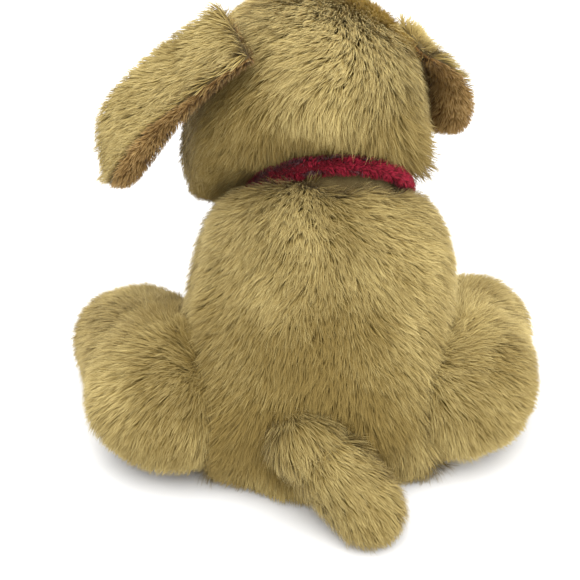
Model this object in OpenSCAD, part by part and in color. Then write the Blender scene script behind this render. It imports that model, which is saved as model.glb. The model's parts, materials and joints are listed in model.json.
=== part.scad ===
// A seated plush puppy, facing -Y, with +X on its own left and the floor at z = 0.
// The origin is the middle of the flat patch that it sits on.
// Every sewn joint is a ball of stuffing in a round socket, so that a limb turns without tearing.

/* [Body] */
// Radius of the rump
rump_r = 88; // [80:1:92]
// Height of the rump's centre above the floor
rump_z = 40; // [36:1:46]
// How far the rump sits behind the origin
rump_back = 8; // [6:1:16]
// Radius of the chest and shoulders
chest_r = 77; // [72:1:80]
// Height of the chest's centre above the floor
chest_z = 103; // [98:1:108]
// How far the chest leans forward of the origin
chest_forward = 20; // [14:1:24]
// Sideways slouch of the upper body, in degrees towards its right
slouch = 4; // [0:0.5:8]
// Radius of each buttock
buttock_r = 54; // [48:1:56]
// Thickness of the plush cover with its pile pressed down
cover_t = 8; // [5:0.5:10]
// Radius of the bag of pellets in the seat
bag_r = 25; // [20:1:27]

/* [Neck and collar] */
// Forward tilt of the neck from upright
neck_tilt = 45; // [40:1:50]
// Radius of the ball of the neck
neck_r = 46; // [40:1:46]
// Outer radius of the collar
collar_r = 54; // [52:0.5:56]
// Width of the collar along the neck
collar_w = 10.5; // [8:0.5:12]

/* [Head] */
// Radius of the skull
head_r = 72; // [64:1:76]
// Radius of each cheek
cheek_r = 52; // [44:1:56]
// Radius of the muzzle
muzzle_r = 33; // [28:1:35]
// Turn of the face towards its left at rest
head_turn = 17; // [0:1:25]
// Roll of the head towards its left shoulder at rest
head_roll = 8; // [0:1:12]
// Radius of each eye
eye_r = 8; // [6:0.5:10]
// Half width of the nose
nose_r = 11; // [8:0.5:13]

/* [Ears] */
// Length of the left ear from its root seam
ear_left_len = 122; // [100:1:130]
// Length of the right ear from its root seam
ear_right_len = 94; // [86:1:110]
// Width of an ear at its widest
ear_w = 62; // [50:1:70]
// Thickness of the long-pile side of an ear
ear_fur_t = 7; // [5:0.5:9]
// Thickness of the short-pile lining of an ear
ear_lining_t = 3; // [2:0.5:4]

/* [Hind legs] */
// Radius of the thigh
thigh_r = 52; // [46:1:55]
// Half spacing of the hip joints
hip_x = 90; // [86:1:94]
// How far the hip joints sit behind the origin
hip_back = 26; // [20:1:30]
// Radius of a hind foot
foot_r = 38; // [34:1:42]
// How far a foot reaches forward of its hip
foot_reach = 78; // [72:1:82]
// How far a foot splays outward of its hip
foot_splay = 34; // [28:1:38]
// Radius of the sole of a hind foot
sole_r = 24; // [18:1:26]
// How far the hind legs sag: their height as a share of their width
sag = 0.8; // [0.75:0.01:0.9]

/* [Front legs] */
// Radius of the shoulder
shoulder_r = 24; // [20:1:25]
// Radius of a front paw
paw_r = 27; // [24:1:30]
// Half spacing of the front paws
paw_x = 50; // [46:1:54]
// How far the paws stand forward of the origin
paw_forward = 112; // [108:1:116]
// Radius of the pad under a front paw
paw_pad_r = 15; // [10:1:18]

/* [Tail] */
// Radius of the tail at its root
tail_root_r = 19; // [16:1:20]
// Radius of the tail at its tip
tail_tip_r = 18; // [15:1:19]

/* [Hidden] */
$fn = 64;
left = 1;
right = -1;
// larger than any part of the dog, for blocks that cut a form in two
big = 400;
// clearance between the neck and the collar, and between the tail and its root
gap = 0.6;
// clearance between a cover and the stuffing inside it
lining_gap = 0.3;
// thickness of the thinner cover on the front legs, tail, muzzle and neck
limb_t = 6;
// facets round a soft form
soft_fn = 20;
// bands in each quarter or so of a turned outline
arc_steps = 6;
// where the belly panel is sewn to the two side panels
seam_y = -49;
wheat = "#b9a673";
wheat_dark = "#a5905a";
fibre = "#f2efe6";
tan_pile = "#a97c3e";
red_pile = "#8e0f22";
black = "#1b1512";

rump_c = [0, rump_back, rump_z];
chest_c = [0, -chest_forward, chest_z];
buttock_c = [46, 26, 34];
neck_c = [-15, -41, 152];
// the top of the chest and the underside of the head, measured along the neck
chest_top = -8;
chin_gap = 4;
chin_slope = 13;
head_c = [-2, -64, 200];
cheek_c = [24, -20, -22];
muzzle_c = [0, -63, -16];
eye_dir = [0.4, -0.86, 0.32];
// the middle of an eye's dome, measured from the middle of the skull
eye_out = head_r - 5;
// room that the pocket for the muzzle leaves round it
muzzle_room = 1.2;
hip_c = [hip_x, hip_back, thigh_r * sag];
foot_c = [hip_x + foot_splay, hip_back - foot_reach, foot_r * sag];
shoulder_c = [46, -71, 87];
paw_c = [paw_x, -paw_forward, paw_r];
tail_c = [9, 83, 46];
tail_tip_c = [-26, 116, tail_tip_r + 0.5];
bag_c = [0, 20, cover_t + bag_r - 5];
ear_left_root = [45, 26, 66];
ear_left_along = [92, -10, -104];
ear_left_facing = [0.72, 0.46, 0.4];
ear_right_root = [-70, 18, 32];
ear_right_along = [-50, -40, -55];
ear_right_facing = [-0.8, -0.1, 0.6];
// lifts at which a socket is opened, so that the limb clears it all the way
hind_lifts = [0, 20];
front_lifts = [0, 40];
// turns of the tail at which its pocket is opened
tail_wags = [0, 12];
sweep_room = 2.55;
tail_room = 3;
// the body's pocket opens upward and backward over the tail, so that the tail can lift
tail_sky = tail_c + [0, 60, 6];
tail_sky_r = 60;
// clearance round the neck in the body and in the head
neck_room = 1.6;
// the seat bag's cloth, the room round it and the mouth at its top
bag_t = 1.5;
bag_room = 1;
bag_mouth_r = 6;
// half length of the neck's sleeve along the neck
sleeve_half = 30;
// how far the collar sits below the middle of the neck
collar_drop = 1.8;
// a ribbed shank and the washer that locks it
shank_r = 2;
washer_hole_r = 2.05;
washer_t = 1.6;
eye_washer_r = 9.5;
nose_washer_r = 6.5;
thread_r = 1.1;
// the smile: how far it starts below the muzzle's middle, how steeply it rises and how far it reaches, in degrees
smile_drop = 21;
smile_tilt = 24;
smile_reach = 34;

function unsagged(p) = [p.x, p.y, p.z / sag];
function mirrored(p, side) = [side * p.x, p.y, p.z];
function unit(v) = v / norm(v);

// A point on a ball, at an angle from the z axis, in the plane of a turned profile.
function on_ball(z, r, a) = [r * sin(a), z + r * cos(a)];

// A turned limb's outline: round the root ball, along the taper and round the end ball, to end_a.
function limb_line(ra, rb, len, end_a, start_a = 180) =
  let (side_a = 90 - asin((ra - rb) / len))
    concat(
      [for (i = [0 : arc_steps]) on_ball(0, ra, start_a + (side_a - start_a) * i / arc_steps)],
      [for (i = [0 : arc_steps]) on_ball(len, rb, side_a + (end_a - side_a) * i / arc_steps)]
    );

function reversed(v) = [for (i = [len(v) - 1 : -1 : 0]) v[i]];

// A limb's cover, closed at its root, with a round opening of radius mouth at its end.
module limb_cover(ra, rb, len, t, mouth) {
  rotate_extrude() polygon(concat(
    limb_line(ra, rb, len, asin(mouth / rb)),
    reversed(limb_line(ra - t, rb - t, len, asin(mouth / (rb - t))))
  ));
}

module limb_filling(ra, rb, len, t) {
  rotate_extrude() polygon(limb_line(ra - t, rb - t, len, 0));
}

// The round pad that closes a limb's mouth.
module limb_pad(rb, len, t, mouth) {
  r_in = rb - t + lining_gap;
  rotate_extrude() polygon(concat(
    [for (i = [0 : arc_steps]) on_ball(len, rb, asin(mouth / rb) * (1 - i / arc_steps))],
    [for (i = [0 : arc_steps]) on_ball(len, r_in, asin(mouth / r_in) * i / arc_steps)]
  ));
}

// Places children with their z axis along one direction.
module along(at, dir) {
  u = unit(dir);
  translate(at) rotate([0, acos(u.z), atan2(u.y, u.x)]) children();
}

// Turns children about an axis through a point.
module swing(at, axis, angle) {
  translate(at) rotate(a = angle, v = axis) translate(-at) children();
}

module neck_frame() {
  translate(neck_c) rotate([neck_tilt, 0, 0]) children();
}

module head_frame() {
  translate(head_c) rotate([0, head_roll, head_turn]) children();
}

// ---- body ----

// A ball of a soft shape that holds no bore.
module ball(r) {
  hull() sphere(r, $fn = soft_fn);
}

// Two balls under one taut skin.
module skin(a, ra, b, rb) {
  hull() {
    translate(a) sphere(ra, $fn = soft_fn);
    translate(b) sphere(rb, $fn = soft_fn);
  }
}

function hip_axis(side) = cross(unit(mirrored(foot_c - hip_c, side)), [0, 0, 1]);

// The space that a limb needs through its whole lift, its ball included.
module limb_room(a, ra, b, rb, axis, lifts, grow, squash = 1) {
  hull() for (lift = lifts) swing(a, axis, lift) {
    translate(a) scale([1, 1, squash]) sphere(ra + grow / squash, $fn = soft_fn);
    translate(b) scale([1, 1, squash]) sphere(rb + grow / squash, $fn = soft_fn);
  }
}

module body_form(inset) {
  room = sweep_room + inset;
  difference() {
    rotate([0, -slouch, 0]) {
      skin(rump_c, rump_r - inset, chest_c, chest_r - inset);
      hull() for (side = [left, right]) translate(mirrored(buttock_c, side)) sphere(buttock_r - inset, $fn = soft_fn);
    }
    translate([-big, -big, inset - big]) cube([2 * big, 2 * big, big]);
    for (side = [left, right]) {
      limb_room(mirrored(hip_c, side), thigh_r, mirrored(foot_c, side), foot_r, hip_axis(side), hind_lifts, room, sag);
      limb_room(mirrored(shoulder_c, side), shoulder_r, mirrored(paw_c, side), paw_r, [-1, 0, 0], front_lifts, room);
    }
    neck_frame() {
      ball(neck_r + neck_room + inset);
      translate([-big, -big, chest_top - inset]) cube([2 * big, 2 * big, big]);
    }
    hull() {
      translate(tail_c) sphere(tail_root_r + sweep_room + inset, $fn = soft_fn);
      for (wag = tail_wags) swing(tail_c, [0, 0, 1], wag)
        translate(tail_tip_c) sphere(tail_root_r + tail_room + inset, $fn = soft_fn);
      translate(tail_sky) sphere(tail_sky_r, $fn = soft_fn);
    }
  }
}

module body_cover() {
  difference() {
    body_form(0);
    body_form(cover_t - lining_gap);
  }
}

module body_panel(side) {
  color(wheat) intersection() {
    body_cover();
    rotate([0, -slouch, 0])
      translate([side > 0 ? 0 : -big, seam_y, -big]) cube([big, 2 * big, 2 * big]);
  }
}

module belly_panel() {
  color(wheat_dark) intersection() {
    body_cover();
    translate([-big, seam_y - big, -big]) cube([2 * big, big, 2 * big]);
  }
}

// A ball of the bag's shape, pressed flat on the inside of the seat.
module bag_form(inset) {
  difference() {
    translate(bag_c) sphere(bag_r - inset);
    translate([-big, -big, cover_t + lining_gap + inset - big]) cube([2 * big, 2 * big, big]);
  }
}

module body_stuffing() {
  color(fibre) difference() {
    body_form(cover_t);
    translate(bag_c) ball(bag_r + bag_room);
  }
}

// The bag is open at the top, where its mouth is gathered and tied.
module pellet_bag() {
  color("#d9d4c6") difference() {
    bag_form(0);
    bag_form(bag_t);
    translate(bag_c + [0, 0, bag_r - 4]) cylinder(h = 10, r = bag_mouth_r);
  }
}

module seat_pellets() {
  color("#e6e4df") bag_form(bag_t + lining_gap);
}

// ---- neck ----

module neck_sleeve() {
  color(wheat_dark) neck_frame() difference() {
    sphere(neck_r);
    sphere(neck_r - limb_t);
    for (end = [sleeve_half, -sleeve_half - neck_r]) translate([0, 0, end]) cylinder(h = neck_r, r = neck_r + 1);
  }
}

module neck_stuffing() {
  color(fibre) neck_frame() sphere(neck_r - limb_t - lining_gap);
}

// A rounded band of red plush, sewn into a ring.
module collar() {
  inner = neck_r + gap;
  mid = (inner + collar_r) / 2;
  half_t = (collar_r - inner) / 2;
  band = [for (a = [0 : 15 : 345])
    [mid + half_t * sign(cos(a)) * sqrt(abs(cos(a))), collar_w / 2 * sign(sin(a)) * sqrt(abs(sin(a)))]];
  color(red_pile) neck_frame() translate([0, 0, -collar_drop]) rotate_extrude() polygon(band);
}

// ---- head ----

// Skull and cheeks, cut below by a shallow cone and a round socket for the neck.
module head_form(inset) {
  difference() {
    intersection() {
      head_frame()
        for (side = [left, right]) skin([0, 0, 0], head_r - inset, mirrored(cheek_c, side), cheek_r - inset);
      neck_frame() translate([0, 0, chin_gap + inset])
        hull() cylinder(h = 200, r1 = 0, r2 = 200 / tan(chin_slope), $fn = 48);
    }
    neck_frame() ball(neck_r + neck_room + inset);
  }
}

module head_panel(side) {
  color(wheat) difference() {
    intersection() {
      head_form(0);
      head_frame() translate([side > 0 ? 0 : -big, -big, -big]) cube([big, 2 * big, 2 * big]);
    }
    head_form(cover_t - lining_gap);
    head_frame() {
      translate(muzzle_c) ball(muzzle_r + muzzle_room);
      eye_room(side);
    }
  }
}

module eye_room(side) {
  u = unit(mirrored(eye_dir, side));
  translate(u * eye_out) ball(eye_r + 0.7);
  along([0, 0, 0], u) hull() cylinder(h = head_r, r = 2.6, $fn = 16);
}

module washer_room(side) {
  u = unit(mirrored(eye_dir, side));
  along(u * (head_r - cover_t - 8), u) hull() cylinder(h = 10, r = 11, $fn = soft_fn);
}

module head_stuffing() {
  color(fibre) difference() {
    head_form(cover_t);
    head_frame() {
      for (s = [left, right]) {
        eye_room(s);
        washer_room(s);
      }
      translate(muzzle_c) ball(muzzle_r - 5);
    }
  }
}

// A black dome on a ribbed shank that passes through the cover.
module eye(side) {
  u = unit(mirrored(eye_dir, side));
  color(black) head_frame() {
    translate(u * eye_out) sphere(eye_r);
    along(u * (head_r - 19), u) cylinder(h = 14, r = shank_r);
  }
}

module washer(r) {
  difference() {
    cylinder(h = washer_t, r = r);
    translate([0, 0, -1]) cylinder(h = washer_t + 2, r = washer_hole_r);
  }
}

module eye_washer(side) {
  u = unit(mirrored(eye_dir, side));
  color("#e8e8e4") head_frame() along(u * (head_r - 15.5), u) washer(eye_washer_r);
}

nose_c = muzzle_c + [0, -muzzle_r - 0.5, 9];

module nose_form(grow) {
  translate(nose_c) scale([1, 0.62, 0.74]) sphere(nose_r + grow);
}

module nose() {
  color(black) head_frame() {
    nose_form(0);
    translate(nose_c + [0, 16, 0]) rotate([90, 0, 0]) cylinder(h = 14, r = shank_r);
  }
}

module nose_room() {
  nose_form(0.4);
  translate(nose_c + [0, 17, 0]) rotate([90, 0, 0]) cylinder(h = 16, r = 2.3);
}

module nose_washer() {
  color("#e8e8e4") head_frame() translate(nose_c + [0, 14.8, 0]) rotate([90, 0, 0]) washer(nose_washer_r);
}

module muzzle_cover() {
  color(wheat) difference() {
    head_frame() translate(muzzle_c) sphere(muzzle_r);
    head_frame() {
      translate(muzzle_c) sphere(muzzle_r - limb_t + lining_gap);
      sphere(head_r + lining_gap);
      for (side = [left, right]) translate(mirrored(cheek_c, side)) sphere(cheek_r + lining_gap);
      nose_room();
    }
  }
}

module muzzle_stuffing() {
  color(fibre) head_frame() difference() {
    translate(muzzle_c) sphere(muzzle_r - limb_t);
    nose_room();
    translate(nose_c + [0, 18, 0]) rotate([90, 0, 0]) cylinder(h = 9, r = 8.4);
  }
}

// One line down from the nose and a smile each way, in thick black thread.
module mouth_thread() {
  ring = muzzle_r + thread_r + 0.2;
  color(black) head_frame() translate(muzzle_c) {
    rotate([90, 0, -90]) rotate_extrude(angle = 10, start = -16) translate([ring, 0]) circle(thread_r);
    for (side = [left, right])
      rotate([side * smile_tilt, smile_drop, -90 + side])
        rotate_extrude(angle = side * smile_reach, start = side) translate([ring, 0]) circle(thread_r);
  }
}

// ---- ears ----

// The outline of an ear: narrow at its root, widest two thirds down, with a round tip.
// The half width of an ear at a share t of its length.
function ear_half_w(t) = ear_w / 2 * (0.72 + 0.28 * sin(150 * t)) * sqrt(1 - pow(max(0, (t - 0.62) / 0.38), 2.4));

module ear_outline(len) {
  steps = 22;
  upper = [for (i = [0 : steps]) let (t = i / steps) [3 + (len - 3) * t, ear_half_w(t)]];
  lower = [for (i = [steps - 1 : -1 : 0]) let (t = i / steps) [3 + (len - 3) * t, -ear_half_w(t)]];
  polygon(concat(upper, lower));
}

// An ear's own frame: x runs from the root to the tip, and z is the long-pile side.
module ear_frame(root, along_dir, facing) {
  o = head_c + turned(root);
  x = unit(along_dir);
  z = unit(facing - (facing * x) * x);
  y = cross(z, x);
  multmatrix([[x.x, y.x, z.x, o.x], [x.y, y.y, z.y, o.y], [x.z, y.z, z.z, o.z]]) children();
}

// A point of the head carried from its own frame to the floor's directions.
function turned(p) =
  let (a = [p.x * cos(head_roll) + p.z * sin(head_roll), p.y, p.z * cos(head_roll) - p.x * sin(head_roll)])
    [a.x * cos(head_turn) - a.y * sin(head_turn), a.x * sin(head_turn) + a.y * cos(head_turn), a.z];

module ear_outer(len) {
  color(wheat) translate([0, 0, lining_gap]) linear_extrude(ear_fur_t) ear_outline(len);
}

module ear_lining(len) {
  color(tan_pile) translate([0, 0, -ear_lining_t]) linear_extrude(ear_lining_t) ear_outline(len - 4);
}

// ---- legs ----

module front_leg_frame(side) {
  along(mirrored(shoulder_c, side), mirrored(paw_c - shoulder_c, side)) children();
}

module front_leg_cover(side) {
  color(wheat) front_leg_frame(side)
    limb_cover(shoulder_r, paw_r, norm(paw_c - shoulder_c), limb_t - lining_gap, paw_pad_r + lining_gap);
}

module front_paw_pad(side) {
  color(tan_pile) front_leg_frame(side) limb_pad(paw_r, norm(paw_c - shoulder_c), limb_t - lining_gap, paw_pad_r);
}

module front_leg_stuffing(side) {
  color(fibre) front_leg_frame(side) limb_filling(shoulder_r, paw_r, norm(paw_c - shoulder_c), limb_t);
}

// A hind leg is turned round its own axis, then flattened as it sags on the floor.
module hind_leg_frame(side) {
  h = unsagged(mirrored(hip_c, side));
  f = unsagged(mirrored(foot_c, side));
  scale([1, 1, sag]) along(h, f - h) children();
}

module hind_leg_cover(side) {
  color(wheat) hind_leg_frame(side)
    limb_cover(thigh_r, foot_r, hind_len, cover_t - lining_gap, sole_r + lining_gap);
}

module hind_foot_sole(side) {
  color(tan_pile) hind_leg_frame(side) limb_pad(foot_r, hind_len, cover_t - lining_gap, sole_r);
}

module hind_leg_stuffing(side) {
  color(fibre) hind_leg_frame(side) limb_filling(thigh_r, foot_r, hind_len, cover_t);
}

hind_len = norm(unsagged(foot_c) - unsagged(hip_c));

// ---- tail ----

module tail_root() {
  color(wheat_dark) translate(tail_c) sphere(tail_root_r);
}

module tail_frame() {
  along(tail_c, tail_tip_c - tail_c) children();
}

tail_len = norm(tail_tip_c - tail_c);

// The tail starts as a hollow ring round its root ball, so its outline opens with that hollow.
module tail_cover() {
  r_clear = tail_root_r + gap;
  r_out = tail_root_r - 1;
  open_a = asin(r_out / r_clear);
  r_in = r_out - limb_t + lining_gap;
  inner_a = asin(r_in / r_clear);
  color(wheat) tail_frame() rotate_extrude() polygon(concat(
    [for (i = [0 : 4]) on_ball(0, r_clear, inner_a + (open_a - inner_a) * i / 4)],
    [for (i = [0 : arc_steps]) on_ball(tail_len, tail_tip_r, 88 * (1 - i / arc_steps))],
    [for (i = [0 : arc_steps]) on_ball(tail_len, tail_tip_r - limb_t + lining_gap, 88 * i / arc_steps)]
  ));
}

module tail_stuffing() {
  r_clear = tail_root_r + gap;
  r_in = tail_root_r - 1 - limb_t;
  inner_a = asin(r_in / r_clear);
  color(fibre) tail_frame() rotate_extrude() polygon(concat(
    [for (i = [0 : 4]) on_ball(0, r_clear, inner_a * i / 4)],
    [for (i = [0 : arc_steps]) on_ball(tail_len, tail_tip_r - limb_t, 88 * (1 - i / arc_steps))]
  ));
}

body_panel(left);  // body_panel_left
body_panel(right);  // body_panel_right
belly_panel();
body_stuffing();
pellet_bag();
seat_pellets();
neck_sleeve();
neck_stuffing();
collar();
head_panel(left);  // head_panel_left
head_panel(right);  // head_panel_right
head_stuffing();
muzzle_cover();
muzzle_stuffing();
nose();
nose_washer();
eye(left);  // eye_left
eye(right);  // eye_right
eye_washer(left);  // eye_washer_left
eye_washer(right);  // eye_washer_right
mouth_thread();
ear_frame(ear_left_root, ear_left_along, ear_left_facing) ear_outer(ear_left_len);  // ear_left_outer
ear_frame(ear_left_root, ear_left_along, ear_left_facing) ear_lining(ear_left_len);  // ear_left_lining
ear_frame(ear_right_root, ear_right_along, ear_right_facing) ear_outer(ear_right_len);  // ear_right_outer
ear_frame(ear_right_root, ear_right_along, ear_right_facing) ear_lining(ear_right_len);  // ear_right_lining
front_leg_cover(left);  // front_leg_left_cover
front_leg_stuffing(left);  // front_leg_left_stuffing
front_paw_pad(left);  // front_paw_left_pad
front_leg_cover(right);  // front_leg_right_cover
front_leg_stuffing(right);  // front_leg_right_stuffing
front_paw_pad(right);  // front_paw_right_pad
hind_leg_cover(left);  // hind_leg_left_cover
hind_leg_stuffing(left);  // hind_leg_left_stuffing
hind_foot_sole(left);  // hind_foot_left_sole
hind_leg_cover(right);  // hind_leg_right_cover
hind_leg_stuffing(right);  // hind_leg_right_stuffing
hind_foot_sole(right);  // hind_foot_right_sole
tail_root();
tail_cover();
tail_stuffing();
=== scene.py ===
import bmesh
import bpy
import json
import math
import numpy as np
from mathutils import Matrix, Vector
from mathutils.bvhtree import BVHTree
from mathutils.kdtree import KDTree


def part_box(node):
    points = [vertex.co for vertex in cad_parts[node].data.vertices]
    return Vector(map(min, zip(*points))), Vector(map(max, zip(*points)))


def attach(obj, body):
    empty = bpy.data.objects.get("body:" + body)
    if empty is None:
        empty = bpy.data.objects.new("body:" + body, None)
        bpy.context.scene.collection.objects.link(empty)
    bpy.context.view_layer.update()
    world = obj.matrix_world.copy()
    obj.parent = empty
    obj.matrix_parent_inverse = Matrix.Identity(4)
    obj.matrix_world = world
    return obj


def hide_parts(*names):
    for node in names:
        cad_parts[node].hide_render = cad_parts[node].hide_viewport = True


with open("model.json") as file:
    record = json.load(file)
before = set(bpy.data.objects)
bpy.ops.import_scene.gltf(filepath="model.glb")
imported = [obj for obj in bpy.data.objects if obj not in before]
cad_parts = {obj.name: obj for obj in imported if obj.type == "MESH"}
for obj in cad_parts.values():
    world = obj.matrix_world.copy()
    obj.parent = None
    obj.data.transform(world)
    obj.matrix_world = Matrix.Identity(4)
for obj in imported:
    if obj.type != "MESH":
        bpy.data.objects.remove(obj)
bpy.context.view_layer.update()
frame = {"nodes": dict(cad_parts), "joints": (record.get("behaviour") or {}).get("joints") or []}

scene = bpy.context.scene
LEFT = 1
RIGHT = -1


# ---- The body ----
# A bag of long-pile plush in three panels: left back, right back and belly.
# The panels are cut from the back of the cloth, sewn inside out, turned and stuffed tight.

def add_object(name, mesh):
    """Puts a mesh into the scene as a smooth-shaded object."""
    smooth_shade(mesh)
    obj = bpy.data.objects.new(name, mesh)
    scene.collection.objects.link(obj)
    return obj


def add_built(name, bm):
    """The same for a mesh under construction, which it frees."""
    mesh = bpy.data.meshes.new(name)
    bm.to_mesh(mesh)
    bm.free()
    return add_object(name, mesh)


def soft_copy(name, nodes, voxel=0.005, smooth=6):
    """One closed skin round several CAD solids, with its edges softened."""
    bm = bmesh.new()
    for node in nodes:
        bm.from_mesh(frame["nodes"][node].data)
    obj = add_built(name, bm)
    remesh = obj.modifiers.new("remesh", "REMESH")
    remesh.mode = "VOXEL"
    remesh.voxel_size = voxel
    apply_modifiers(obj)
    bm = bmesh.new()
    bm.from_mesh(obj.data)
    keep_biggest_shell(bm)
    for _ in range(smooth):
        bmesh.ops.smooth_vert(
            bm, verts=bm.verts, factor=0.5, use_axis_x=True, use_axis_y=True, use_axis_z=True,
        )
    bm.to_mesh(obj.data)
    bm.free()
    smooth_shade(obj.data)
    return obj


def apply_modifiers(obj):
    """Swaps the object's mesh for the one that its modifiers make."""
    depsgraph = bpy.context.evaluated_depsgraph_get()
    mesh = bpy.data.meshes.new_from_object(obj.evaluated_get(depsgraph))
    obj.modifiers.clear()
    obj.data = mesh


def keep_biggest_shell(bm):
    """Removes every shell but the one with the most vertices."""
    bm.verts.ensure_lookup_table()
    seen = set()
    shells = []
    for start in bm.verts:
        if start.index in seen:
            continue
        seen.add(start.index)
        shell = [start]
        stack = [start]
        while stack:
            vert = stack.pop()
            for edge in vert.link_edges:
                other = edge.other_vert(vert)
                if other.index not in seen:
                    seen.add(other.index)
                    stack.append(other)
                    shell.append(other)
        shells.append(shell)
    shells.sort(key=len)
    for shell in shells[:-1]:
        bmesh.ops.delete(bm, geom=shell, context="VERTS")


def smooth_shade(mesh):
    mesh.polygons.foreach_set("use_smooth", np.ones(len(mesh.polygons), bool))


def points_of(mesh):
    """The mesh's vertices as an array."""
    co = np.empty(len(mesh.vertices) * 3)
    mesh.vertices.foreach_get("co", co)
    return co.reshape(-1, 3)


def move_points(mesh, co):
    mesh.vertices.foreach_set("co", co.ravel())
    mesh.update()


def normals_of(mesh):
    """The mesh's vertex normals as an array."""
    nor = np.empty(len(mesh.vertices) * 3)
    mesh.vertices.foreach_get("normal", nor)
    return nor.reshape(-1, 3)


def tree_of(mesh):
    """A search tree of the mesh's faces."""
    return BVHTree.FromPolygons([v.co for v in mesh.vertices], [tuple(p.vertices) for p in mesh.polygons])


def reach_to(points, mesh, far=0.05):
    """How far each point is from a mesh, up to far."""
    tree = tree_of(mesh)
    out = np.full(len(points), far)
    for i, point in enumerate(points):
        hit = tree.find_nearest(Vector(point), far)
        if hit[3] is not None:
            out[i] = hit[3]
    return out


def puff(obj, pressure=4.0, held=None, most=0.006, frames=14):
    """Fills a sewn skin with stuffing by cloth simulation. held is how firmly each point is held, 0 to 1."""
    before = points_of(obj.data)
    group = obj.vertex_groups.new(name="held")
    for i, hold in enumerate(held):
        if hold > 0.01:
            group.add([i], float(min(hold, 1.0)), "REPLACE")
    cloth = obj.modifiers.new("cloth", "CLOTH")
    cloth.settings.quality = 4
    cloth.settings.mass = 0.2
    cloth.settings.tension_stiffness = 12
    cloth.settings.compression_stiffness = 12
    cloth.settings.bending_stiffness = 0.4
    cloth.settings.use_pressure = True
    cloth.settings.uniform_pressure_force = pressure
    cloth.settings.effector_weights.gravity = 0
    cloth.settings.vertex_group_mass = "held"
    cloth.point_cache.frame_start = 1
    cloth.point_cache.frame_end = frames
    for f in range(1, frames + 1):
        scene.frame_set(f)
    apply_modifiers(obj)
    scene.frame_set(1)
    after = points_of(obj.data)
    move = after - before
    length = np.linalg.norm(move, axis=1)
    move *= np.minimum(1.0, most / np.maximum(length, 1e-9))[:, None]
    obj.vertex_groups.clear()
    move_points(obj.data, before + move)
    smooth_shade(obj.data)


def ripple(points, size, seed):
    """Smooth noise of about -1 to 1, whose bumps are about size across."""
    rng = np.random.default_rng(seed)
    waves = rng.normal(size=(7, 3))
    waves /= np.linalg.norm(waves, axis=1)[:, None]
    waves *= 2 * math.pi / size * rng.uniform(0.45, 1.1, 7)[:, None]
    phase = rng.uniform(0, 2 * math.pi, 7)
    return np.sin(points @ waves.T + phase).sum(axis=1) / 2.6


def unruly(points, size, seed):
    """Smooth noise in all three directions, for the way that pile is brushed."""
    return np.stack([ripple(points, size, seed + k) for k in range(3)], axis=1)


def unit(v):
    return v / np.maximum(np.linalg.norm(v, axis=-1, keepdims=True), 1e-9)


def part_of(skin, name, keep):
    """A new piece from the faces of a skin that keep marks."""
    bm = bmesh.new()
    bm.from_mesh(skin.data)
    bm.faces.ensure_lookup_table()
    drop = [bm.faces[i] for i in np.nonzero(~keep)[0]]
    bmesh.ops.delete(bm, geom=drop, context="FACES")
    return add_built(name, bm)


def centres_of(mesh):
    """The middle of each face."""
    out = np.empty(len(mesh.polygons) * 3)
    mesh.polygons.foreach_get("center", out)
    return out.reshape(-1, 3)


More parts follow.
